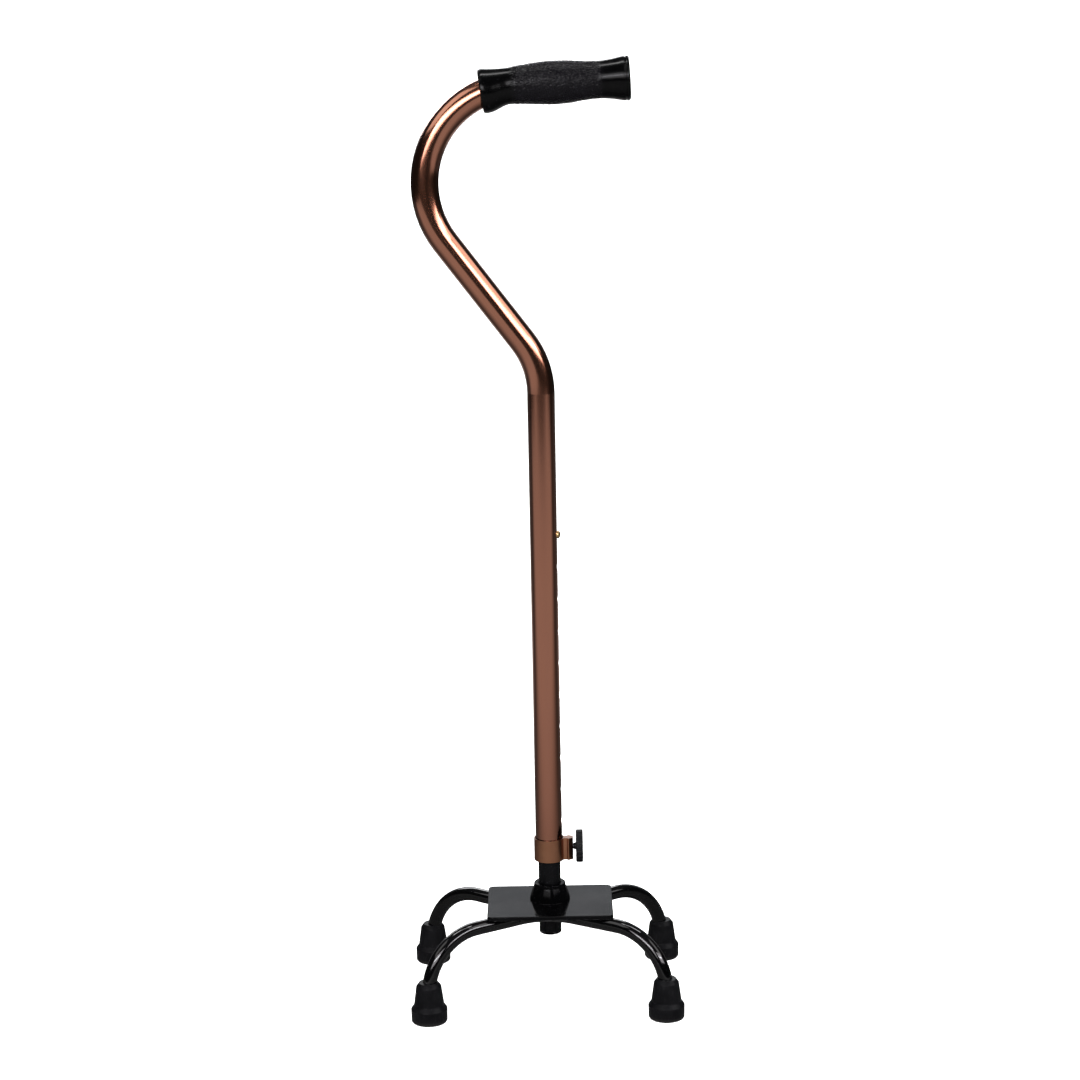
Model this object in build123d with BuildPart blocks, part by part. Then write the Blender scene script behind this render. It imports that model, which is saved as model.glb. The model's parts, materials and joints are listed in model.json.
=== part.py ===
from build123d import *
import os
from math import cos, radians, sin, sqrt, tan

# Quad walking cane. Millimetres, +Z up. The origin is on the floor under the shaft's axis, and +X is the way
# the hand grip points. The leg tubes and feet sit a little to the -X side of the shaft, and the front pair
# of feet (-Y) stands slightly closer together than the rear pair.
os.makedirs("parts", exist_ok=True)

# ---------------------------------------------------------------- driving dimensions
height_step = 25.4  # pitch of the height settings
setting_count = 10  # height settings, the lowest one is modelled
button_height = 367.1  # height of the snap button, and of the top height hole

tube_radius = 10.5  # outer tube of the handle
tube_wall = 1.2
tube_bottom = 108.0
height_hole_radius = 3.3

stem_radius = 8.7  # inner tube that carries the base
stem_wall = 1.5
stem_bottom = 48.6
stem_top = 388.0

# centre line of the neck, in the XZ plane
low_bend_height = 477.0
low_bend_radius = 66.5
neck_lean = 36.9  # degrees from vertical
neck_straight = 94.0
top_bend_radius = 72.2
grip_rise = 2.8  # degrees above horizontal
grip_straight = 83.0

plate_top = 74.3
plate_thickness = 3.2
plate_half_width = 49.0
plate_front = -43.0
plate_back = 31.2
plate_corner = 4.5

leg_radius = 5.5
leg_wall = 1.4
front_leg_bend = 44.0  # radius of the bend down to a front foot
rear_leg_bend = 49.0
front_splay = 33.0  # degrees between a front leg and the X axis, seen from above
rear_splay = 38.5
leg_gap = 0.3  # between a leg tube's middle and the stem

leg_shift = -3.0  # middle of the leg tubes and feet, from the shaft's axis
front_foot_x = 91.3  # from that middle to a front foot
rear_foot_x = 93.6
foot_y = 66.6
tip_radius = 14.0
tip_height = 31.5
tip_floor = 6.0  # rubber under the washer
washer_thickness = 1.2

screw_height = 117.2
screw_radius = 2.0
insert_bore_radius = 2.05
collar_bottom = 107.0
collar_height = 17.7
collar_radius = 11.8
knob_radius = 12.9
knob_thickness = 5.5
knob_inner_face = 21.1

button_radius = 3.0
button_reach = 13.1  # from the shaft's axis to the button's tip

# ---------------------------------------------------------------- derived dimensions
tube_bore = tube_radius - tube_wall
stem_bore = stem_radius - stem_wall
plate_bottom = plate_top - plate_thickness
leg_height = plate_bottom - leg_radius
leg_middle = stem_radius + leg_radius + leg_gap
leg_end = tip_floor + washer_thickness
hole_heights = [button_height - height_step * i for i in range(setting_count)]
foot_places = {
    "front_left": (leg_shift - front_foot_x, -foot_y),
    "front_right": (leg_shift + front_foot_x, -foot_y),
    "rear_left": (leg_shift - rear_foot_x, foot_y),
    "rear_right": (leg_shift + rear_foot_x, foot_y),
}


def save(piece, name):
    """Label a finished piece and write its STEP file."""
    piece.part.label = name
    export_step(piece.part, f"parts/{name}.step")


# ---------------------------------------------------------------- handle tube
with BuildLine(Plane.XZ) as neck_path:
    shaft_line = Line((0, tube_bottom), (0, low_bend_height))
    low_bend = JernArc(shaft_line @ 1, shaft_line % 1, low_bend_radius, neck_lean)
    neck_line = Line(low_bend @ 1, low_bend @ 1 + (low_bend % 1) * neck_straight)
    top_bend = JernArc(neck_line @ 1, neck_line % 1, top_bend_radius, grip_rise - 90 - neck_lean)
    grip_line = Line(top_bend @ 1, top_bend @ 1 + (top_bend % 1) * grip_straight)

tube_end = grip_line @ 1
section_plane = Plane.XY.offset(tube_bottom)

with BuildPart() as handle_core:
    with BuildSketch(section_plane):
        Circle(tube_radius)
    sweep(path=neck_path.line)

with BuildPart() as handle_tube:
    with BuildSketch(section_plane):
        Circle(tube_radius)
        Circle(tube_bore, mode=Mode.SUBTRACT)
    sweep(path=neck_path.line)
    with BuildSketch(Plane.YZ):
        with Locations(*[(0, height) for height in hole_heights]):
            Circle(height_hole_radius)
        with Locations((0, screw_height)):
            Circle(screw_radius + 0.35)
    extrude(amount=tube_radius + 1, mode=Mode.SUBTRACT)
save(handle_tube, "handle_tube")

# ---------------------------------------------------------------- hand grip
# Each ring of the grip: x and z of its centre, its tilt from vertical in degrees, and its radius.
grip_rings = [
    (-41.0, 703.3, 8.4, 16.4),
    (-38.0, 703.7, 8.4, 16.6),
    (-33.4, 704.2, 7.6, 16.0),
    (-28.9, 705.2, 6.4, 15.0),
    (-24.4, 706.3, 5.0, 14.0),
    (-19.8, 707.1, 3.6, 13.6),
    (-10.9, 707.9, 2.8, 14.2),
    (2.5, 708.6, 2.8, 15.4),
    (12.6, 708.9, 2.8, 15.9),
    (24.9, 709.4, 2.8, 15.5),
    (33.9, 709.9, 2.8, 14.5),
    (44.8, 710.4, 2.8, 13.8),
    (56.2, 710.9, 2.8, 14.8),
    (64.8, 711.2, 2.8, 16.4),
    (70.2, 711.4, 2.8, 16.7),
]
with BuildPart() as hand_grip:
    for ring_x, ring_z, ring_tilt, ring_radius in grip_rings:
        along = (cos(radians(ring_tilt)), 0, sin(radians(ring_tilt)))
        with BuildSketch(Plane(origin=(ring_x, 0, ring_z), x_dir=(0, 1, 0), z_dir=along)):
            Circle(ring_radius)
    loft()
    fillet(hand_grip.faces().sort_by(Axis.X)[-1].edges(), radius=1.6)
    fillet(hand_grip.faces().sort_by(Axis.X)[0].edges(), radius=1.2)
    add(handle_core.part, mode=Mode.SUBTRACT)
save(hand_grip, "hand_grip")

# ---------------------------------------------------------------- lock collar, its threaded insert and the bushing
# The collar is a band round the tube whose nose, towards +X, holds the thumb screw's threaded insert.
valley_end_x = 14.0  # the narrow waist between the band and the nose
valley_half = 3.3
nose_root_x = 14.9
nose_root_half = 4.9
nose_end_x = 18.9
nose_end_half = 2.3
insert_radius = 2.75
insert_x = 12.4
insert_length = 5.0
fit_gap = 0.05
stud_clearance = 0.15
rim_gap = 0.75  # between the tube and the band's thin upper rim
rim_depth = 2.6

with BuildPart() as lock_collar:
    with BuildSketch(Plane.XY.offset(collar_bottom)):
        Circle(collar_radius)
        with BuildLine():
            Polyline(
                (0, -valley_half),
                (valley_end_x, -valley_half),
                (nose_root_x, -nose_root_half),
                (nose_end_x, -nose_end_half),
                (nose_end_x, nose_end_half),
                (nose_root_x, nose_root_half),
                (valley_end_x, valley_half),
                (0, valley_half),
                close=True,
            )
        make_face()
        Circle(tube_radius + fit_gap, mode=Mode.SUBTRACT)
    extrude(amount=collar_height)
    nose_corners = lock_collar.edges().filter_by(Axis.Z).filter_by(
        lambda edge: edge.center().X > nose_root_x - 0.1
    )
    fillet(nose_corners, radius=0.8)
    with BuildSketch(Plane.XY.offset(collar_bottom + collar_height - rim_depth)):
        Circle(tube_radius + rim_gap)
    extrude(amount=rim_depth, mode=Mode.SUBTRACT)
    with BuildSketch(Plane.YZ.offset(insert_x)):
        with Locations((0, screw_height)):
            Circle(insert_radius + fit_gap)
    extrude(amount=insert_length, mode=Mode.SUBTRACT)
    with BuildSketch(Plane.YZ):
        with Locations((0, screw_height)):
            Circle(insert_bore_radius + stud_clearance)
    extrude(amount=nose_end_x, mode=Mode.SUBTRACT)
save(lock_collar, "lock_collar")

with BuildPart() as collar_nut:
    with BuildSketch(Plane.YZ.offset(insert_x)):
        with Locations((0, screw_height)):
            Circle(insert_radius)
            Circle(insert_bore_radius, mode=Mode.SUBTRACT)
    extrude(amount=insert_length)
save(collar_nut, "collar_nut")

bushing_bore = stem_radius + 0.08
bushing_top = 131.0
with BuildPart() as guide_bushing:
    with BuildSketch(Plane.XY.offset(collar_bottom)):
        Circle(tube_radius)
        Circle(bushing_bore, mode=Mode.SUBTRACT)
    extrude(amount=tube_bottom - collar_bottom)
    with BuildSketch(Plane.XY.offset(tube_bottom)):
        Circle(tube_bore)
        Circle(bushing_bore, mode=Mode.SUBTRACT)
    extrude(amount=bushing_top - tube_bottom)
    with BuildSketch(Plane.YZ):
        with Locations((0, screw_height)):
            Circle(screw_radius + 0.35)
    extrude(amount=tube_radius, mode=Mode.SUBTRACT)
save(guide_bushing, "guide_bushing")

# ---------------------------------------------------------------- thumb screw
stud_tip_x = stem_radius + 0.05
stud_end_x = knob_inner_face + 3.4
boss_root_radius = 2.9  # the knob's short boss narrows towards the collar
boss_tip_radius = 2.35
boss_length = 1.95
with BuildPart() as thumb_screw_stud:
    with BuildSketch(Plane.YZ.offset(stud_tip_x)):
        with Locations((0, screw_height)):
            Circle(screw_radius)
    extrude(amount=stud_end_x - stud_tip_x)
    chamfer(thumb_screw_stud.faces().sort_by(Axis.X)[0].edges(), length=0.5)
save(thumb_screw_stud, "thumb_screw_stud")

flute_count = 20
flute_radius = 1.1
flute_depth = 0.45
with BuildPart() as thumb_screw_knob:
    with BuildSketch(Plane.YZ.offset(knob_inner_face)):
        with Locations((0, screw_height)):
            Circle(knob_radius)
            with PolarLocations(knob_radius + flute_radius - flute_depth, flute_count):
                Circle(flute_radius, mode=Mode.SUBTRACT)
    extrude(amount=knob_thickness)
    fillet(thumb_screw_knob.faces().sort_by(Axis.X)[-1].edges(), radius=1.0)
    fillet(thumb_screw_knob.faces().sort_by(Axis.X)[0].edges(), radius=1.0)
    with BuildSketch(Plane.YZ.offset(knob_inner_face)):
        with Locations((0, screw_height)):
            Circle(boss_root_radius)
    with BuildSketch(Plane.YZ.offset(knob_inner_face - boss_length)):
        with Locations((0, screw_height)):
            Circle(boss_tip_radius)
    loft()
    with BuildSketch(Plane.YZ.offset(knob_inner_face - boss_length)):
        with Locations((0, screw_height)):
            Circle(insert_bore_radius)
    extrude(amount=stud_end_x + fit_gap - knob_inner_face + boss_length, mode=Mode.SUBTRACT)
save(thumb_screw_knob, "thumb_screw_knob")

# ---------------------------------------------------------------- stem, its end cap, and the snap button
with BuildPart() as lower_tube:
    with BuildSketch(Plane.XY.offset(stem_bottom)):
        Circle(stem_radius)
        Circle(stem_bore, mode=Mode.SUBTRACT)
    extrude(amount=stem_top - stem_bottom)
    with BuildSketch(Plane.YZ):
        with Locations((0, button_height)):
            Circle(button_radius + 0.1)
    extrude(amount=stem_radius + 1, mode=Mode.SUBTRACT)
save(lower_tube, "lower_tube")

cap_thickness = 2.2
with BuildPart() as stem_end_cap:
    with BuildSketch(Plane.XY.offset(stem_bottom)):
        Circle(stem_radius)
    extrude(amount=-cap_thickness)
    fillet(stem_end_cap.faces().sort_by(Axis.Z)[0].edges(), radius=1.5)
    with BuildSketch(Plane.XY.offset(stem_bottom)):
        Circle(stem_bore - fit_gap)
    extrude(amount=9)
save(stem_end_cap, "stem_end_cap")

button_foot_x = 5.3
button_foot_thickness = 0.8
button_foot_radius = 3.5
button_dome = 1.6
with BuildPart() as snap_button:
    with BuildSketch(Plane.XZ.offset(0)):
        with BuildLine():
            dome_start = (button_reach - button_dome, button_height + button_radius)
            Polyline(
                (button_foot_x, button_height),
                (button_foot_x, button_height + button_foot_radius),
                (button_foot_x + button_foot_thickness, button_height + button_foot_radius),
                (button_foot_x + button_foot_thickness, button_height + button_radius),
                dome_start,
            )
            RadiusArc(
                dome_start,
                (button_reach, button_height),
                (button_radius**2 + button_dome**2) / (2 * button_dome),
            )
            Line((button_reach, button_height), (button_foot_x, button_height))
        make_face()
    revolve(axis=Axis((0, 0, button_height), (1, 0, 0)))
save(snap_button, "snap_button")

# The spring is a strip folded into a narrow V, open at the top, that bears on both sides of the stem.
spring_width = 5.0
spring_thickness = 0.5
spring_top = button_height + 4.5
spring_length = 52.0
spring_tip = button_foot_x - spring_thickness / 2
with BuildPart() as snap_spring:
    with BuildLine(Plane.XZ) as spring_path:
        front_arm = Line((spring_tip, spring_top), (spring_tip, button_height - 4.5))
        front_run = Line(front_arm @ 1, Vector(-0.4, 0, spring_top - spring_length))
        spring_fold = TangentArc(
            front_run @ 1,
            Vector(-3.4, 0, spring_top - spring_length),
            tangent=front_run % 1,
        )
        Line(spring_fold @ 1, Vector(-6.3, 0, spring_top))
    with BuildSketch(Plane.XY.offset(spring_top)):
        with Locations((spring_tip, 0)):
            Rectangle(spring_thickness, spring_width)
    sweep(path=spring_path.line, transition=Transition.RIGHT)
save(snap_spring, "snap_spring")

# ---------------------------------------------------------------- hub and plate
hub_radius = 15.9
hub_lip = 1.0
hub_shoulder_radius = 12.5
hub_shoulder = 85.4
hub_top = 88.1
with BuildPart() as hub_collar:
    with BuildSketch(Plane.XZ):
        with BuildLine():
            Polyline(
                (hub_shoulder_radius - 0.2, hub_top),
                (stem_radius + fit_gap, hub_top),
                (stem_radius + fit_gap, plate_top),
                (hub_radius, plate_top),
                (hub_radius, plate_top + hub_lip),
            )
            ThreePointArc(
                (hub_radius, plate_top + hub_lip),
                (14.55, 80.2),
                (hub_shoulder_radius, hub_shoulder),
            )
            Line((hub_shoulder_radius, hub_shoulder), (hub_shoulder_radius - 0.2, hub_top))
        make_face()
    revolve(axis=Axis.Z)
    fillet(hub_collar.faces().sort_by(Axis.Z)[-1].edges(), radius=0.9)
save(hub_collar, "hub_collar")

with BuildPart() as base_plate:
    with BuildSketch(Plane.XY.offset(plate_bottom)):
        with Locations((0, (plate_front + plate_back) / 2)):
            RectangleRounded(2 * plate_half_width, plate_back - plate_front, plate_corner)
        Circle(stem_radius + fit_gap, mode=Mode.SUBTRACT)
    extrude(amount=plate_thickness)
    plate_rim = base_plate.faces().sort_by(Axis.Z)[-1].outer_wire().edges()
    fillet(plate_rim, radius=0.7)
save(base_plate, "base_plate")


# ---------------------------------------------------------------- leg tubes
def leg_route(side, foot_x, splay_angle, bend_radius):
    """Centre line of one leg tube, from its left foot to its right foot; side is -1 in front, 1 behind."""
    splay = radians(splay_angle)
    apex = foot_y - tan(splay) * foot_x
    middle_radius = (leg_middle - apex) / (1 / cos(splay) - 1)
    arc_x = middle_radius * sin(splay)
    arc_y = leg_middle + middle_radius * (1 - cos(splay))
    drop_x = foot_x - bend_radius * cos(splay)
    drop_y = foot_y - bend_radius * sin(splay)

    def point(x, y, z):
        return Vector(leg_shift + x, side * y, z)

    bend_end = leg_height - bend_radius
    with BuildLine() as route:
        Line(point(-foot_x, foot_y, leg_end), point(-foot_x, foot_y, bend_end))
        TangentArc(
            point(-foot_x, foot_y, bend_end),
            point(-drop_x, drop_y, leg_height),
            tangent=Vector(0, 0, 1),
        )
        Line(point(-drop_x, drop_y, leg_height), point(-arc_x, arc_y, leg_height))
        ThreePointArc(
            point(-arc_x, arc_y, leg_height),
            point(0, leg_middle, leg_height),
            point(arc_x, arc_y, leg_height),
        )
        Line(point(arc_x, arc_y, leg_height), point(drop_x, drop_y, leg_height))
        TangentArc(
            point(drop_x, drop_y, leg_height),
            point(foot_x, foot_y, bend_end),
            tangent=Vector(cos(splay), side * sin(splay), 0),
        )
        Line(point(foot_x, foot_y, bend_end), point(foot_x, foot_y, leg_end))
    return route.line


leg_cores = {}
leg_ends = (
    ("front", -1, front_foot_x, front_splay, front_leg_bend),
    ("rear", 1, rear_foot_x, rear_splay, rear_leg_bend),
)
for end_name, side, foot_x, splay_angle, bend_radius in leg_ends:
    leg_start = Plane(origin=(leg_shift - foot_x, side * foot_y, leg_end), x_dir=(1, 0, 0), z_dir=(0, 0, 1))
    with BuildPart() as leg_core:
        with BuildSketch(leg_start):
            Circle(leg_radius)
        sweep(path=leg_route(side, foot_x, splay_angle, bend_radius))
    leg_cores[end_name] = leg_core.part
    with BuildPart() as leg_tube:
        with BuildSketch(leg_start):
            Circle(leg_radius)
            Circle(leg_radius - leg_wall, mode=Mode.SUBTRACT)
        sweep(path=leg_route(side, foot_x, splay_angle, bend_radius))
    save(leg_tube, f"{end_name}_leg_tube")

# ---------------------------------------------------------------- rubber tips and their washers
flange_height = 10.6
shoulder_height = 13.8
shoulder_radius = 11.7
tip_top_radius = 9.7
groove_depth = 1.5
for place_name, (place_x, place_y) in foot_places.items():
    tip_plane = Plane(origin=(place_x, place_y, 0), x_dir=(1, 0, 0), z_dir=(0, -1, 0))
    with BuildPart() as tip:
        with BuildSketch(tip_plane):
            with BuildLine():
                Polyline(
                    (0, groove_depth),
                    (4.5, groove_depth),
                    (4.5, 0),
                    (8.0, 0),
                    (8.0, groove_depth),
                    (9.8, groove_depth),
                    (9.8, 0),
                    (tip_radius - 1.0, 0),
                    (tip_radius - 0.2, 1.2),
                    (tip_radius, flange_height),
                    (shoulder_radius, shoulder_height),
                    (tip_top_radius, tip_height - 3.0),
                    (tip_top_radius - 2.2, tip_height),
                    (0, tip_height),
                    close=True,
                )
            make_face()
        revolve(axis=Axis((place_x, place_y, 0), (0, 0, 1)))
        shoulder_edges = tip.edges().filter_by(GeomType.CIRCLE).filter_by(
            lambda rim: rim.center().Z > flange_height - 1 and rim.center().Z < tip_height - 1
        )
        fillet(shoulder_edges, radius=0.9)
        with BuildSketch(Plane.XY.offset(tip_floor)):
            with Locations((place_x, place_y)):
                Circle(leg_radius)
        extrude(amount=washer_thickness, mode=Mode.SUBTRACT)
        add(leg_cores[place_name.split("_")[0]], mode=Mode.SUBTRACT)
    save(tip, f"tip_{place_name}")
    with BuildPart() as washer:
        with BuildSketch(Plane.XY.offset(tip_floor)):
            with Locations((place_x, place_y)):
                Circle(leg_radius - fit_gap)
                Circle(1.6, mode=Mode.SUBTRACT)
        extrude(amount=washer_thickness)
    save(washer, f"washer_{place_name}")
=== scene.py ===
import json
import math

import bpy
from mathutils import Matrix, Vector, noise


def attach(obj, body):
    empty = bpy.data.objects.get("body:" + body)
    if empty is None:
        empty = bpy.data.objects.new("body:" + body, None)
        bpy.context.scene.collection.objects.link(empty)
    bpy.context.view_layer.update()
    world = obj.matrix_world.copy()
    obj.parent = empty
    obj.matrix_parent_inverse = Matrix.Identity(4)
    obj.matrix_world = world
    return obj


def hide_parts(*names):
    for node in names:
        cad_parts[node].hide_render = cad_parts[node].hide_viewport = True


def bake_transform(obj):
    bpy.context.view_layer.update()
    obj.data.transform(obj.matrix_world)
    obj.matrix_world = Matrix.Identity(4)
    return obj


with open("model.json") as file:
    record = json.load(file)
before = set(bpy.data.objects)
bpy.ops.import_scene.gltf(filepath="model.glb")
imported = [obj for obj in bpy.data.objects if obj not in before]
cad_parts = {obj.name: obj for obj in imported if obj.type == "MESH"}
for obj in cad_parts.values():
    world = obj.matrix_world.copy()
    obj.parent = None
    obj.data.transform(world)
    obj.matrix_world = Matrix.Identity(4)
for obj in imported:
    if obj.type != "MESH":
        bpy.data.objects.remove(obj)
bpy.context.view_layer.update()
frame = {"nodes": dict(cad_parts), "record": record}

# Quad walking cane: finishes for the CAD nodes, a pebbled grip, a copy of the spring, weld beads, the
# studio.
# Lengths are metres, except in the mesh builders, which work in millimetres and scale by MM.
NODES = frame["nodes"]
MM = 0.001


# ------------------------------------------------------------------ node helpers
class Finish:
    """A Principled material with short helpers that add nodes to it."""

    def __init__(self, name, **values):
        self.material = bpy.data.materials.new(name)
        self.material.use_nodes = True
        self.tree = self.material.node_tree
        self.shader = self.tree.nodes["Principled BSDF"]
        for socket, value in values.items():
            self.shader.inputs[socket.replace("_", " ")].default_value = value

    def add(self, kind, **settings):
        node = self.tree.nodes.new(kind)
        for key, value in settings.items():
            setattr(node, key, value)
        return node

    def join(self, source, target):
        self.tree.links.new(source, target)

    def place(self, scale=(1, 1, 1)):
        """Object coordinates in metres, stretched by scale."""
        coords = self.add("ShaderNodeTexCoord")
        mapping = self.add("ShaderNodeMapping")
        mapping.inputs["Scale"].default_value = scale
        self.join(coords.outputs["Object"], mapping.inputs["Vector"])
        return mapping.outputs["Vector"]

    def noise(self, scale, detail=3.0, roughness=0.55, stretch=(1, 1, 1)):
        node = self.add("ShaderNodeTexNoise")
        node.inputs["Scale"].default_value = scale
        node.inputs["Detail"].default_value = detail
        node.inputs["Roughness"].default_value = roughness
        self.join(self.place(stretch), node.inputs["Vector"])
        return node.outputs["Fac"]

    def cells(self, scale):
        """Distance to the nearest point of a scattered set: 0 in each pit's middle."""
        node = self.add("ShaderNodeTexVoronoi", feature="F1")
        node.inputs["Scale"].default_value = scale
        self.join(self.place(), node.inputs["Vector"])
        return node.outputs["Distance"]

    def ramp(self, value, low, high, out_low=0.0, out_high=1.0):
        node = self.add("ShaderNodeMapRange")
        node.interpolation_type = "SMOOTHSTEP"
        node.inputs["From Min"].default_value = low
        node.inputs["From Max"].default_value = high
        node.inputs["To Min"].default_value = out_low
        node.inputs["To Max"].default_value = out_high
        self.join(value, node.inputs["Value"])
        return node.outputs["Result"]

    def combine(self, operation, first, second):
        node = self.add("ShaderNodeMath", operation=operation)
        for socket, value in zip(node.inputs, (first, second)):
            if isinstance(value, (int, float)):
                socket.default_value = value
            else:
                self.join(value, socket)
        return node.outputs["Value"]

    def blend(self, factor, first, second):
        node = self.add("ShaderNodeMix", data_type="RGBA")
        if isinstance(factor, (int, float)):
            node.inputs["Factor"].default_value = factor
        else:
            self.join(factor, node.inputs["Factor"])
        for name, value in (("A", first), ("B", second)):
            socket = next(s for s in node.inputs if s.name == name and s.type == "RGBA")
            if isinstance(value, tuple):
                socket.default_value = (*value, 1.0)
            else:
                self.join(value, socket)
        return next(s for s in node.outputs if s.type == "RGBA")

    def axis(self, letter):
        """One object coordinate, in metres."""
        coords = self.add("ShaderNodeTexCoord")
        split = self.add("ShaderNodeSeparateXYZ")
        self.join(coords.outputs["Object"], split.inputs["Vector"])
        return split.outputs[letter]

    def edge_wear(self, radius):
        """1 on sharp edges, 0 on flat faces: how far a rounded normal leaves the true one."""
        bevel = self.add("ShaderNodeBevel", samples=8)
        bevel.inputs["Radius"].default_value = radius
        geometry = self.add("ShaderNodeNewGeometry")
        dot = self.add("ShaderNodeVectorMath", operation="DOT_PRODUCT")
        self.join(bevel.outputs["Normal"], dot.inputs[0])
        self.join(geometry.outputs["Normal"], dot.inputs[1])
        return self.ramp(dot.outputs["Value"], 0.995, 0.90)

    def facing_up(self):
        """1 where the surface faces up, 0 where it stands."""
        geometry = self.add("ShaderNodeNewGeometry")
        split = self.add("ShaderNodeSeparateXYZ")
        self.join(geometry.outputs["Normal"], split.inputs["Vector"])
        return self.ramp(split.outputs["Z"], 0.6, 0.95)

    def colour(self, socket):
        self.join(socket, self.shader.inputs["Base Color"])

    def rough(self, socket):
        self.join(socket, self.shader.inputs["Roughness"])

    def bump(self, height, distance, strength=1.0, below=None):
        node = self.add("ShaderNodeBump")
        node.inputs["Strength"].default_value = strength
        node.inputs["Distance"].default_value = distance
        self.join(height, node.inputs["Height"])
        if below is not None:
            self.join(below, node.inputs["Normal"])
        self.join(node.outputs["Normal"], self.shader.inputs["Normal"])
        return node.outputs["Normal"]


# ------------------------------------------------------------------ materials
def bronze_tube():
    """Satin anodised bronze: drawn along the tube, with faint handling scuffs."""
    m = Finish("bronze_tube", Metallic=1.0, Roughness=0.155, Coat_Weight=1.0, Coat_Roughness=0.13)
    tone = m.noise(14, 4, stretch=(1, 1, 0.25))
    grain = m.noise(900, 2, 0.6)
    drawn = m.noise(600, 3, 0.6, stretch=(0.01, 1, 0.01))
    scuff = m.ramp(m.noise(60, 6, 0.7, stretch=(1, 1, 0.5)), 0.60, 0.74)
    base = m.blend(m.ramp(tone, 0.3, 0.7), (0.345, 0.128, 0.070), (0.385, 0.148, 0.083))
    base = m.blend(m.combine("MULTIPLY", scuff, 0.08), base, (0.50, 0.33, 0.24))
    m.colour(base)
    rough = m.combine("ADD", m.ramp(drawn, 0.2, 0.8, 0.148, 0.162), m.combine("MULTIPLY", scuff, 0.01))
    m.rough(m.combine("ADD", rough, m.ramp(grain, 0.3, 0.7, -0.003, 0.003)))
    m.bump(drawn, 0.000002, 0.1)
    return m.material


def bronze_collar():
    """The same bronze on a formed band, duller, with worn corners, and with painted shade darkening its
    upward faces.
    """
    m = Finish("bronze_collar", Metallic=1.0, Roughness=0.32)
    tone = m.noise(70, 4)
    grain = m.noise(1400, 2, 0.6)
    worn = m.combine("MULTIPLY", m.edge_wear(0.0006), m.ramp(m.noise(300, 4), 0.40, 0.62))
    base = m.blend(m.ramp(tone, 0.3, 0.7), (0.345, 0.160, 0.090), (0.42, 0.195, 0.114))
    base = m.blend(m.combine("MULTIPLY", worn, 0.3), base, (0.48, 0.30, 0.20))
    # Painted shade: faces that point up are blended towards a dark brown, so the tops of the band and nose
    # look shaded.
    m.colour(m.blend(m.combine("MULTIPLY", m.facing_up(), 0.8), base, (0.060, 0.030, 0.022)))
    m.rough(m.ramp(grain, 0.3, 0.7, 0.28, 0.38))
    m.bump(grain, 0.00002, 0.6)
    return m.material


def gloss_black(name, roughness, base, shine, peel=0.00006):
    """Gloss black enamel on metal, with orange peel, dust specks and fine wipe marks."""
    m = Finish(name, Roughness=roughness, Specular_IOR_Level=shine)
    dust = m.ramp(m.noise(2600, 2, 0.6), 0.70, 0.80)
    haze = m.noise(35, 5, 0.6)
    worn = m.combine("MULTIPLY", m.edge_wear(0.0005), m.ramp(m.noise(400, 4), 0.45, 0.65))
    deep, pale = (base, base, base * 1.15), (base * 1.7, base * 1.7, base * 2.0)
    dark = m.blend(m.ramp(haze, 0.3, 0.7), deep, pale)
    dark = m.blend(m.combine("MULTIPLY", dust, 0.03), dark, (0.20, 0.20, 0.20))
    m.colour(m.blend(m.combine("MULTIPLY", worn, 0.25), dark, (0.12, 0.12, 0.12)))
    m.rough(m.ramp(haze, 0.25, 0.75, roughness - 0.02, roughness + 0.05))
    m.bump(m.noise(260, 2, 0.5), peel, 0.5)
    return m.material


def tip_rubber():
    """Matte black rubber with a fine moulded grain and paler dust in the low spots."""
    m = Finish("tip_rubber", Roughness=0.5, Specular_IOR_Level=0.07)
    grain = m.noise(1500, 3, 0.65)
    bloom = m.noise(80, 5, 0.65)
    base = m.blend(m.ramp(bloom, 0.3, 0.75), (0.0015, 0.0015, 0.0019), (0.0034, 0.0034, 0.0040))
    floor_dust = m.ramp(m.axis("Z"), 0.004, 0.0, 0.0, 0.35)
    m.colour(m.blend(floor_dust, base, (0.025, 0.024, 0.022)))
    m.rough(m.ramp(grain, 0.3, 0.7, 0.32, 0.46))
    m.bump(grain, 0.00006, 0.7)
    return m.material


def moulded_plastic(name, low=0.42, high=0.55):
    """Black moulded plastic with spark-eroded texture and worn edges."""
    m = Finish(name, Roughness=0.5, Specular_IOR_Level=0.12)
    grain = m.noise(2200, 2, 0.6)
    worn = m.combine("MULTIPLY", m.edge_wear(0.0005), m.ramp(m.noise(500, 4), 0.42, 0.62))
    cloud = m.ramp(m.noise(120, 4), 0.3, 0.7)
    base = m.blend(cloud, (0.002, 0.002, 0.0023), (0.004, 0.004, 0.0046))
    m.colour(m.blend(m.combine("MULTIPLY", worn, 0.35), base, (0.05, 0.05, 0.053)))
    m.rough(m.ramp(grain, 0.3, 0.7, low, high))
    m.bump(grain, 0.00004, 0.6)
    return m.material


def bare_metal(name, dark, light, roughness):
    """Plated or bright metal with turning lines and small stains."""
    m = Finish(name, Metallic=1.0, Roughness=roughness)
    lines = m.noise(1800, 3, 0.6, stretch=(1, 0.15, 0.15))
    stain = m.ramp(m.noise(350, 5, 0.65), 0.45, 0.70)
    m.colour(m.blend(stain, light, dark))
    m.rough(m.ramp(lines, 0.25, 0.75, roughness - 0.06, roughness + 0.10))
    m.bump(lines, 0.00001, 0.5)
    return m.material


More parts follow.
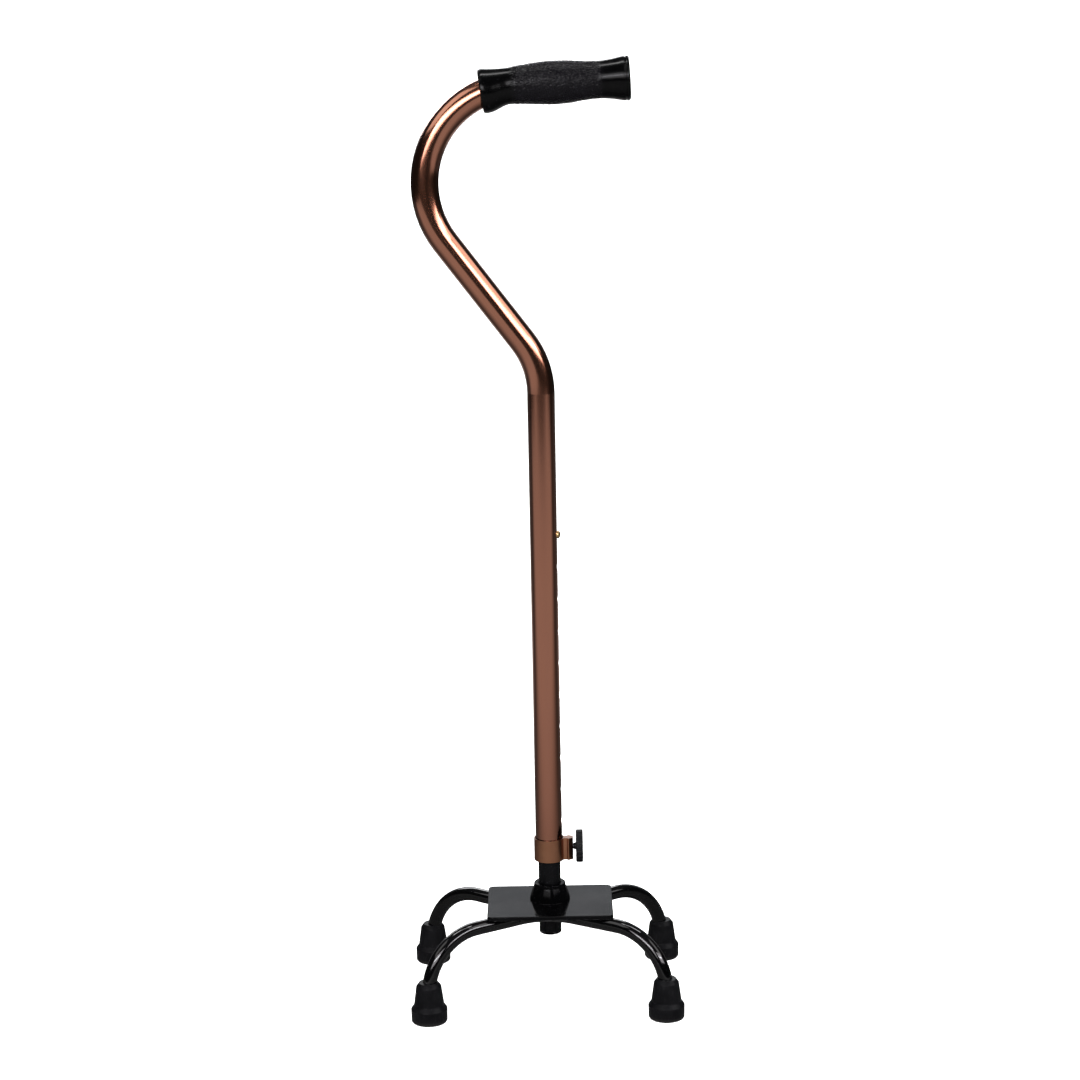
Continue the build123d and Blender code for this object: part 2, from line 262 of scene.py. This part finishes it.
def grip_vinyl():
    """Black vinyl: the pebbled part is duller than the polished ends."""
    m = Finish("grip_vinyl", Roughness=0.3, Specular_IOR_Level=0.11)
    along = m.axis("X")
    inner = m.ramp(along, -0.020, -0.012)
    outer = m.ramp(along, 0.052, 0.046)
    pebbled = m.combine("MULTIPLY", inner, outer)
    grain = m.noise(1300, 3, 0.6)
    pits = m.cells(900)
    cloud = m.ramp(m.noise(90, 4), 0.3, 0.7)
    smooth = m.blend(cloud, (0.0003, 0.0003, 0.0004), (0.0006, 0.0006, 0.0007))
    matte = m.blend(cloud, (0.0013, 0.0011, 0.0017), (0.0020, 0.0018, 0.0025))
    m.colour(m.blend(pebbled, smooth, matte))
    dull = m.combine("MULTIPLY", pebbled, m.ramp(grain, 0.3, 0.7, 0.06, 0.14))
    m.rough(m.combine("ADD", dull, m.ramp(m.noise(140, 4), 0.3, 0.7, 0.16, 0.22)))
    fine = m.bump(grain, 0.00002, 0.5)
    m.bump(m.combine("MULTIPLY", pebbled, pits), 0.00012, 0.5, fine)
    return m.material


FINISHES = {
    "bronze_tube": bronze_tube(),
    "bronze_collar": bronze_collar(),
    "stem_black": gloss_black("stem_black", 0.16, base=0.0012, shine=0.09),
    "hub_black": gloss_black("hub_black", 0.13, base=0.0006, shine=0.03),
    "plate_black": gloss_black("plate_black", 0.08, base=0.0008, shine=0.08, peel=0.00001),
    "leg_black": gloss_black("leg_black", 0.05, base=0.0004, shine=0.45, peel=0.000004),
    "tip_rubber": tip_rubber(),
    "knob_plastic": moulded_plastic("knob_plastic"),
    "bushing_nylon": moulded_plastic("bushing_nylon", 0.30, 0.40),
    "screw_steel": bare_metal("screw_steel", (0.05, 0.05, 0.055), (0.10, 0.10, 0.11), 0.32),
    "nut_steel": bare_metal("nut_steel", (0.42, 0.40, 0.34), (0.62, 0.61, 0.58), 0.28),
    "spring_steel": bare_metal("spring_steel", (0.35, 0.35, 0.36), (0.60, 0.60, 0.61), 0.22),
    "button_brass": bare_metal("button_brass", (0.42, 0.25, 0.11), (0.68, 0.46, 0.22), 0.26),
    "grip_vinyl": grip_vinyl(),
}


def dress_cad_nodes():
    """Every carried-over CAD node takes the finish of its record slot."""
    for row in frame["record"]["subparts"]:
        node = NODES[row["node"]]
        node.data.materials.clear()
        node.data.materials.append(FINISHES[row["material_slot"]])


# ------------------------------------------------------------------ mesh helpers
def new_piece(name, points, faces, finish, body):
    """A smooth-shaded mesh that moves with a body and takes the finish of a record slot."""
    mesh = bpy.data.meshes.new(name)
    mesh.from_pydata(points, [], faces)
    mesh.validate()
    piece = bpy.data.objects.new(name, mesh)
    bpy.context.scene.collection.objects.link(piece)
    mesh.materials.append(FINISHES[finish])
    for face in mesh.polygons:
        face.use_smooth = True
    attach(piece, body)
    return piece


def ring_faces(ring_count, size, close_start=False, close_end=False):
    """Quads between successive rings of points, with optional flat fans at the ends."""
    faces = []
    for ring in range(ring_count - 1):
        for k in range(size):
            nxt = (k + 1) % size
            a, b = ring * size + k, ring * size + nxt
            faces.append((a, b, b + size, a + size))
    if close_start:
        faces.append(tuple(reversed(range(size))))
    if close_end:
        start = (ring_count - 1) * size
        faces.append(tuple(range(start, start + size)))
    return faces


def spline(values, t):
    """Catmull-Rom value at t in 0..len-1 through a list of tuples."""
    last = len(values) - 1
    i = min(int(t), last - 1)
    u = t - i
    p0, p1, p2, p3 = (values[max(0, min(last, k))] for k in (i - 1, i, i + 1, i + 2))
    return tuple(
        0.5 * (2 * b + (c - a) * u + (2 * a - 5 * b + 4 * c - d) * u * u + (3 * b - a - 3 * c + d) * u**3)
        for a, b, c, d in zip(p0, p1, p2, p3)
    )


# ------------------------------------------------------------------ hand grip
# Rings of the grip, as in the CAD: x and z of the centre, tilt in degrees, radius, in mm.
GRIP_RINGS = [
    (-41.0, 703.3, 8.4, 16.4),
    (-38.0, 703.7, 8.4, 16.6),
    (-33.4, 704.2, 7.6, 16.0),
    (-28.9, 705.2, 6.4, 15.0),
    (-24.4, 706.3, 5.0, 14.0),
    (-19.8, 707.1, 3.6, 13.6),
    (-10.9, 707.9, 2.8, 14.2),
    (2.5, 708.6, 2.8, 15.4),
    (12.6, 708.9, 2.8, 15.9),
    (24.9, 709.4, 2.8, 15.5),
    (33.9, 709.9, 2.8, 14.5),
    (44.8, 710.4, 2.8, 13.8),
    (56.2, 710.9, 2.8, 14.8),
    (64.8, 711.2, 2.8, 16.4),
    (70.2, 711.4, 2.8, 16.7),
]


def smoothstep(low, high, value):
    t = max(0.0, min(1.0, (value - low) / (high - low)))
    return t * t * (3 - 2 * t)


def build_grip():
    """The moulded grip: flared ends with rounded lips, and raised pebbles on the part the hand holds."""
    size, steps, lip_steps = 288, 420, 8
    lip_near, lip_far = 1.5, 2.3
    mouth_radius = 10.6
    pebble_height, pebble_pitch = 0.32, 2.3
    groove_x, groove_depth, groove_width = 66.9, 0.5, 0.6
    points = []

    def section(t):
        x, z, tilt, radius = spline(GRIP_RINGS, t)
        lean = math.radians(tilt)
        return Vector((x, 0, z)), Vector((math.cos(lean), 0, math.sin(lean))), radius

    def add_ring(centre, axis, radius, bumps):
        up = Vector((-axis.z, 0, axis.x))
        for k in range(size):
            angle = 2 * math.pi * k / size
            out = up * math.cos(angle) + Vector((0, 1, 0)) * math.sin(angle)
            place = centre + out * radius
            if bumps > 0.001:
                cell = noise.voronoi(place / pebble_pitch)[0]
                crease = smoothstep(0.02, 0.30, cell[1] - cell[0])
                place = place + out * (bumps * pebble_height * (crease - 0.35))
            points.append(place * MM)

    last = len(GRIP_RINGS) - 1
    centre, axis, radius = section(0)
    rings = 0
    # from inside the mouth, out over the rounded near lip
    for inset, depth in ((0.0, 6.0), (0.0, 0.5), (0.4, 0.0)):
        add_ring(centre + axis * depth, axis, mouth_radius + inset, 0)
        rings += 1
    for step in range(lip_steps + 1):
        turn = math.pi / 2 * step / lip_steps
        add_ring(
            centre + axis * lip_near * (1 - math.cos(turn)),
            axis,
            radius - lip_near * (1 - math.sin(turn)),
            0,
        )
        rings += 1
    for step in range(1, steps):
        t = last * step / steps
        centre, axis, radius = section(t)
        held = smoothstep(-21, -14, centre.x) * (1 - smoothstep(45, 51, centre.x))
        groove = groove_depth * math.exp(-(((centre.x - groove_x) / groove_width) ** 2))
        near_lip = (centre - section(0)[0]).length < lip_near * 1.4
        far_lip = (centre - section(last)[0]).length < lip_far * 1.2
        if near_lip or far_lip:
            continue
        add_ring(centre, axis, radius - groove, held)
        rings += 1
    centre, axis, radius = section(last)
    for step in range(lip_steps + 1):
        turn = math.pi / 2 * step / lip_steps
        add_ring(
            centre - axis * lip_far * (1 - math.sin(turn)),
            axis,
            radius - lip_far * (1 - math.cos(turn)),
            0,
        )
        rings += 1
    # over the closed end, which has one shallow ring moulded in it
    end_face = ((0.86, 0.0), (0.84, 0.35), (0.60, 0.35), (0.58, 0.0), (0.30, 0.0), (0.04, 0.0))
    for radius_share, dish in end_face:
        add_ring(centre - axis * dish, axis, radius * radius_share, 0)
        rings += 1
    grip = new_piece("grip", points, ring_faces(rings, size, close_end=True), "grip_vinyl", "handle")
    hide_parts("hand_grip")


# ------------------------------------------------------------------ button spring
def build_spring():
    """A copy of the V spring inside the stem, with its placement baked into the mesh, in place of the hidden
    CAD spring.
    """
    source = NODES["snap_spring"]
    spring = bpy.data.objects.new("spring", source.data.copy())
    spring.matrix_world = source.matrix_world.copy()
    bpy.context.scene.collection.objects.link(spring)
    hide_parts("snap_spring")
    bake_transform(spring)


# ------------------------------------------------------------------ weld beads under the plate
PLATE_BOTTOM = 71.1
# Each leg under the plate, in mm: side in Y, shift in X, arc centre in |Y|, arc radius, arc end in X.
LEG_ARCS = (
    (-1, -3.0, 51.9, 37.4, 20.4),
    (1, -3.0, 95.0, 80.5, 40.0),
)


def build_weld(name, side, shift, centre_y, arc_radius, reach):
    """A rippled bead in the groove between the plate and one leg tube, on the side away from the stem."""
    size, steps, ripples = 10, 140, 46
    bead_radius, ripple_height, bead_stretch = 1.25, 0.16, 1.5
    drop, offset = 1.15, 3.4
    points = []
    for step in range(steps + 1):
        t = step / steps
        x = reach * (2 * t - 1)
        dy = math.sqrt(arc_radius**2 - x * x)
        outward = Vector((-x / arc_radius, side * dy / arc_radius, 0))
        y = side * (centre_y - dy)
        ripple = ripple_height * abs(math.sin(t * ripples * math.pi))
        thick = (bead_radius + ripple) * smoothstep(0, 0.04, t) * smoothstep(1, 0.96, t) + 0.02
        middle = Vector((x + shift, y, PLATE_BOTTOM - drop)) + outward * offset
        for k in range(size):
            angle = 2 * math.pi * k / size
            turn = outward * math.cos(angle) * bead_stretch + Vector((0, 0, 1)) * math.sin(angle)
            points.append((middle + turn * thick) * MM)
    new_piece(name, points, ring_faces(steps + 1, size, True, True), "leg_black", "base")


# ------------------------------------------------------------------ camera, lights and stage
def aim(thing, place, target):
    thing.location = place
    direction = Vector(target) - Vector(place)
    thing.rotation_euler = direction.to_track_quat("-Z", "Y").to_euler()


def build_camera():
    """A long lens a little above the grip, rolled so that the shaft leans as it does in the picture."""
    camera = bpy.data.objects.new("camera", bpy.data.cameras.new("camera"))
    bpy.context.scene.collection.objects.link(camera)
    camera.data.sensor_width = 36.0
    camera.data.lens = 85.2
    pitch, yaw, roll = math.radians(11.27), math.radians(-0.21), math.radians(-1.05)
    ahead = Vector((math.sin(yaw) * math.cos(pitch), math.cos(yaw) * math.cos(pitch), -math.sin(pitch)))
    right = Vector((math.cos(yaw), -math.sin(yaw), 0))
    up = right.cross(ahead)
    right_rolled = right * math.cos(roll) + up * math.sin(roll)
    up_rolled = up * math.cos(roll) - right * math.sin(roll)
    turn = Matrix((right_rolled, up_rolled, -ahead)).transposed()
    camera.matrix_world = Matrix.Translation((0.0043, -1.92623, 0.74687)) @ turn.to_4x4()
    bpy.context.scene.camera = camera


def soft_light(name, place, target, size, power, colour=(1, 1, 1)):
    data = bpy.data.lights.new(name, "AREA")
    data.shape = "RECTANGLE"
    data.size, data.size_y = size
    data.energy = power
    data.color = colour
    light = bpy.data.objects.new(name, data)
    bpy.context.scene.collection.objects.link(light)
    light.visible_camera = False
    aim(light, place, target)


def build_stage():
    """A pale floor that curves up into a pale wall all round."""
    floor_radius, curve, top, size = 4.2, 1.2, 5.0, 96
    profile = [(0.4, 0.0), (1.5, 0.0), (floor_radius, 0.0)]
    for step in range(1, 13):
        turn = math.pi / 2 * step / 12
        profile.append((floor_radius + curve * math.sin(turn), curve * (1 - math.cos(turn))))
    profile.append((floor_radius + curve, top))
    points = []
    for radius, z in profile:
        for k in range(size):
            angle = 2 * math.pi * k / size
            points.append((radius * math.cos(angle), radius * math.sin(angle), z))
    mesh = bpy.data.meshes.new("stage")
    mesh.from_pydata(points, [], ring_faces(len(profile), size, close_start=True))
    mesh.flip_normals()
    stage = bpy.data.objects.new("stage", mesh)
    bpy.context.scene.collection.objects.link(stage)
    for face in mesh.polygons:
        face.use_smooth = len(face.vertices) == 4
    paper = Finish("stage_paper", Roughness=0.9, Specular_IOR_Level=0.1, Emission_Strength=0.70)
    paper.shader.inputs["Emission Color"].default_value = (1, 1, 1, 1)
    paper.colour(paper.blend(paper.noise(3, 2), (0.80, 0.80, 0.80), (0.82, 0.82, 0.82)))
    mesh.materials.append(paper.material)
    stage.visible_glossy = False


def build_floor_glow():
    """What the gloss sees of the floor: lit in front of the object and dim at the sides."""
    half = 2.9
    mesh = bpy.data.meshes.new("floor_glow")
    corners = [(-half, -half, 0), (half, -half, 0), (half, half, 0), (-half, half, 0)]
    mesh.from_pydata(corners, [], [(0, 1, 2, 3)])
    glow = bpy.data.objects.new("floor_glow", mesh)
    bpy.context.scene.collection.objects.link(glow)
    glow.location.z = -0.002
    m = Finish("floor_glow", Roughness=1.0, Specular_IOR_Level=0.0)
    m.shader.inputs["Base Color"].default_value = (0, 0, 0, 1)
    m.shader.inputs["Emission Color"].default_value = (1.0, 0.99, 0.98, 1)
    x, y = m.axis("X"), m.axis("Y")
    front = m.ramp(m.combine("ADD", y, m.combine("MULTIPLY", x, 0.12)), 0.25, -0.75, 0.0, 0.56)
    edge = m.ramp(y, -2.9, -2.5)
    middle = m.ramp(m.combine("ABSOLUTE", x, 0), 1.3, 0.6)
    back = m.combine("MULTIPLY", m.ramp(y, 0.35, 1.0, 0.0, 0.50), middle)
    light = m.combine("ADD", m.combine("MULTIPLY", front, edge), m.combine("ADD", back, 0.09))
    m.join(light, m.shader.inputs["Emission Strength"])
    mesh.materials.append(m.material)
    glow.visible_camera = glow.visible_diffuse = False
    glow.visible_shadow = glow.visible_transmission = False


def build_world():
    """Soft studio surroundings: a dim room with a pale wall behind."""
    world = bpy.data.worlds.new("world")
    world.use_nodes = True
    tree = world.node_tree

    def ramp(value, low, high, top):
        node = tree.nodes.new("ShaderNodeMapRange")
        node.interpolation_type = "SMOOTHSTEP"
        for name, number in (("From Min", low), ("From Max", high), ("To Min", 0.0), ("To Max", top)):
            node.inputs[name].default_value = number
        tree.links.new(value, node.inputs["Value"])
        return node.outputs["Result"]

    def combine(operation, first, second):
        node = tree.nodes.new("ShaderNodeMath")
        node.operation = operation
        for socket, value in zip(node.inputs, (first, second)):
            if isinstance(value, float):
                socket.default_value = value
            else:
                tree.links.new(value, socket)
        return node.outputs["Value"]

    coords = tree.nodes.new("ShaderNodeTexCoord")
    split = tree.nodes.new("ShaderNodeSeparateXYZ")
    tree.links.new(coords.outputs["Generated"], split.inputs["Vector"])
    x, y, z = split.outputs
    wall = combine("MULTIPLY", ramp(y, 0.70, 0.95, 0.88), ramp(z, 0.06, 0.18, 1.0))
    total = combine("ADD", combine("ADD", wall, ramp(z, 0.30, 0.95, 0.10)), 0.02)
    tree.links.new(total, tree.nodes["Background"].inputs["Strength"])
    tree.nodes["Background"].inputs["Color"].default_value = (0.92, 0.95, 1.0, 1)
    bpy.context.scene.world = world


def build_lights():
    """Softboxes above the camera with a hot strip in each, softer ones at the sides, above and behind."""
    lilac, cool = (1.0, 0.97, 1.0), (0.95, 0.95, 1.0)
    soft_light("left_box", (-0.86, -2.35, 1.47), (0, 0, 0.68), (2.2, 1.15), 46, lilac)
    soft_light("left_strip", (-0.80, -2.25, 1.42), (0, 0, 0.40), (1.5, 0.10), 18, cool)
    soft_light("right_box", (1.86, -1.72, 1.50), (0, 0, 0.58), (2.3, 0.85), 36, lilac)
    soft_light("right_strip", (1.78, -1.62, 1.45), (0, 0, 0.30), (1.5, 0.10), 14, cool)
    soft_light("right_side_box", (1.98, -0.50, 2.05), (0, 0, 0.56), (1.3, 1.5), 14, (1.0, 1.0, 0.98))
    soft_light("left_side_box", (-1.80, -0.55, 2.40), (0, 0, 0.62), (1.6, 1.5), 12, (1.0, 1.0, 0.98))
    soft_light("top", (0.0, 0.15, 2.6), (0, 0, 0.4), (1.6, 0.25), 22)
    soft_light("rear", (-0.6, 2.4, 1.6), (0, 0, 0.5), (2.2, 0.8), 30)


bpy.context.scene.view_settings.view_transform = "Standard"
dress_cad_nodes()
build_grip()
build_spring()
for weld_name, arc in zip(("front_weld", "rear_weld"), LEG_ARCS):
    build_weld(weld_name, *arc)
build_camera()
build_stage()
build_floor_glow()
build_world()
build_lights()
